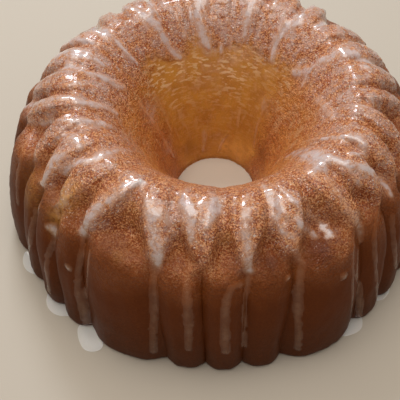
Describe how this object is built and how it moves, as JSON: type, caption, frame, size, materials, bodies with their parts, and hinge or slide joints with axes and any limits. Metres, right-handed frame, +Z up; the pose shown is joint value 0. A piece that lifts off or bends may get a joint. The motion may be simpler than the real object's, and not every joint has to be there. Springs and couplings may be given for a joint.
{
  "type": "ring cake",
  "caption": "Fluted ring cake turned out of a tube tin, with lobed sides, scooped shoulders, a flat underside and a flared centre hole that goes right through.",
  "frame": {"origin": "centre of the cake's bounding box at the flat underside it rests on", "axes": "+Z up along the axis of the centre hole; -Y is the side that faces the viewer in the picture; +X to the viewer's right"},
  "size_m": [0.2448, 0.2468, 0.0904],
  "materials": {
    "cake": "browned crust, satin"
  },
  "bodies": {
    "root": {"cake": "cake"}
  },
  "joints": []
}
